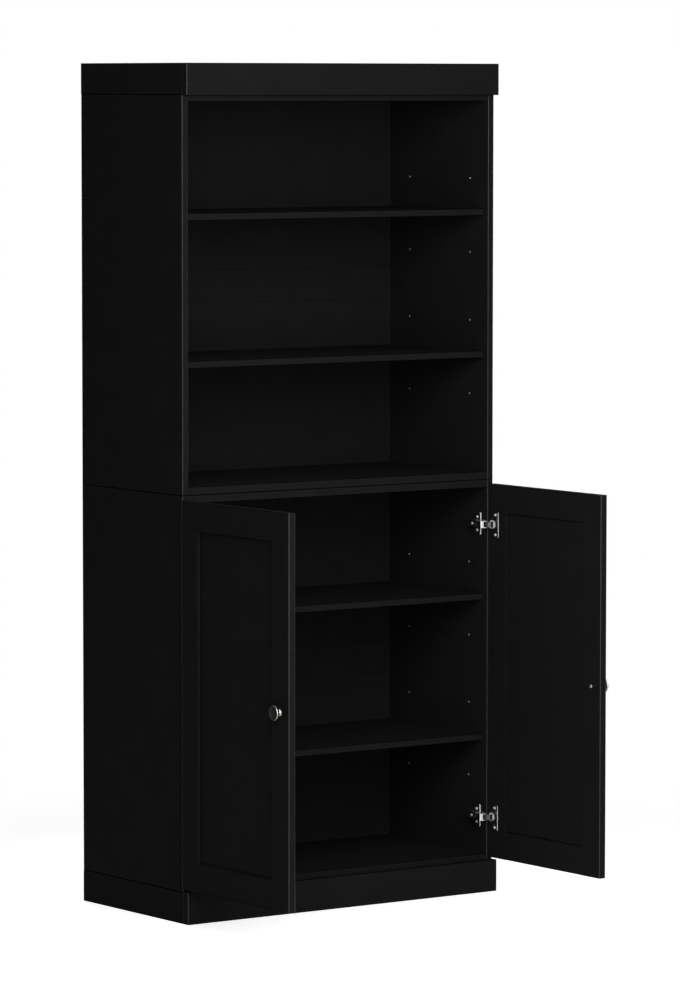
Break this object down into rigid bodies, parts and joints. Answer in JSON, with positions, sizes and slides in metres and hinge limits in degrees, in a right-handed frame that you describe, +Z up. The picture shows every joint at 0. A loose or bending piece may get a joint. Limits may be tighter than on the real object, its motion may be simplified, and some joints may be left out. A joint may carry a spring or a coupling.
{
  "type": "bookcase with cabinet doors",
  "caption": "Tall open bookcase on a cabinet with framed doors on concealed hinges; loose shelves on pins, full-width plinth and flat cap.",
  "frame": {"origin": "on the floor, at the centre of the plinth's footprint", "axes": "+Z up, -Y towards the front that the doors close, +X to the right seen from the front"},
  "size_m": [0.955, 0.867, 2],
  "materials": {
    "black_laminate": "satin black laminate on board, with a fine wood-pore texture",
    "plain_wood": "unfinished softwood, inside the plinth and cap, and beech dowels",
    "bright_nickel": "bright nickel plate on pressed steel",
    "zinc_steel": "zinc-plated steel",
    "dark_knob": "dark bronze, polished bright at the rim"
  },
  "bodies": {
    "carcass": {"bookcase_back_lower_board": "black_laminate", "bookcase_back_rail": "black_laminate", "bookcase_back_upper_board": "black_laminate", "bookcase_bottom_panel": "black_laminate", "bookcase_cam_fittings": "zinc_steel", "bookcase_left_side": "black_laminate", "bookcase_lower_shelf": "black_laminate", "bookcase_right_side": "black_laminate", "bookcase_shelf_pins": "zinc_steel", "bookcase_top_panel": "black_laminate", "bookcase_upper_shelf": "black_laminate", "cabinet_back_lower_board": "black_laminate", "cabinet_back_rail": "black_laminate", "cabinet_back_upper_board": "black_laminate", "cabinet_bottom_panel": "black_laminate", "cabinet_cam_fittings": "zinc_steel", "cabinet_left_side": "black_laminate", "cabinet_lower_shelf": "black_laminate", "cabinet_right_side": "black_laminate", "cabinet_shelf_pins": "zinc_steel", "cabinet_top_panel": "black_laminate", "cabinet_upper_shelf": "black_laminate", "cap_corner_blocks": "plain_wood", "cap_fascia": "black_laminate", "cap_left_board": "black_laminate", "cap_lid": "black_laminate", "cap_rear_board": "black_laminate", "cap_right_board": "black_laminate", "deck_screws": "zinc_steel", "hinge_arms": "bright_nickel", "hinge_mounting_plates": "bright_nickel", "hinge_plate_screws": "zinc_steel", "panel_dowels": "plain_wood", "plinth_centre_bearer": "plain_wood", "plinth_corner_blocks": "plain_wood", "plinth_front_board": "black_laminate", "plinth_left_board": "black_laminate", "plinth_rear_board": "black_laminate", "plinth_right_board": "black_laminate"},
    "left_door": {"left_door_bottom_rail": "black_laminate", "left_door_free_stile": "black_laminate", "left_door_hinge_stile": "black_laminate", "left_door_panel": "black_laminate", "left_door_screws": "zinc_steel", "left_door_top_rail": "black_laminate", "left_hinge_cups": "bright_nickel", "left_knob": "dark_knob"},
    "right_door": {"right_door_bottom_rail": "black_laminate", "right_door_free_stile": "black_laminate", "right_door_hinge_stile": "black_laminate", "right_door_panel": "black_laminate", "right_door_screws": "zinc_steel", "right_door_top_rail": "black_laminate", "right_hinge_cups": "bright_nickel", "right_knob": "dark_knob"},
    "left_hinge_links": {"left_hinge_links": "bright_nickel"},
    "right_hinge_links": {"right_hinge_links": "bright_nickel"}
  },
  "joints": [
    {"name": "right_door_swing", "type": "hinge", "parent": "carcass", "child": "right_door", "pos_m": [0.437, -0.2065, 0.5365], "axis": [0, 0, 1], "range_deg": [-90, 10]},
    {"name": "left_door_swing", "type": "hinge", "parent": "carcass", "child": "left_door", "pos_m": [-0.437, -0.2065, 0.5365], "axis": [0, 0, -1], "range_deg": [-90, 10]},
    {"name": "right_link_swing", "type": "hinge", "parent": "carcass", "child": "right_hinge_links", "pos_m": [0.437, -0.2065, 0.5365], "axis": [0, 0, 1], "range_deg": [-63, 7]},
    {"name": "left_link_swing", "type": "hinge", "parent": "carcass", "child": "left_hinge_links", "pos_m": [-0.437, -0.2065, 0.5365], "axis": [0, 0, -1], "range_deg": [-63, 7]}
  ],
  "couplings": [
    {"joint": "right_link_swing", "follows": "right_door_swing", "ratio": 0.7},
    {"joint": "left_link_swing", "follows": "left_door_swing", "ratio": 0.7}
  ]
}
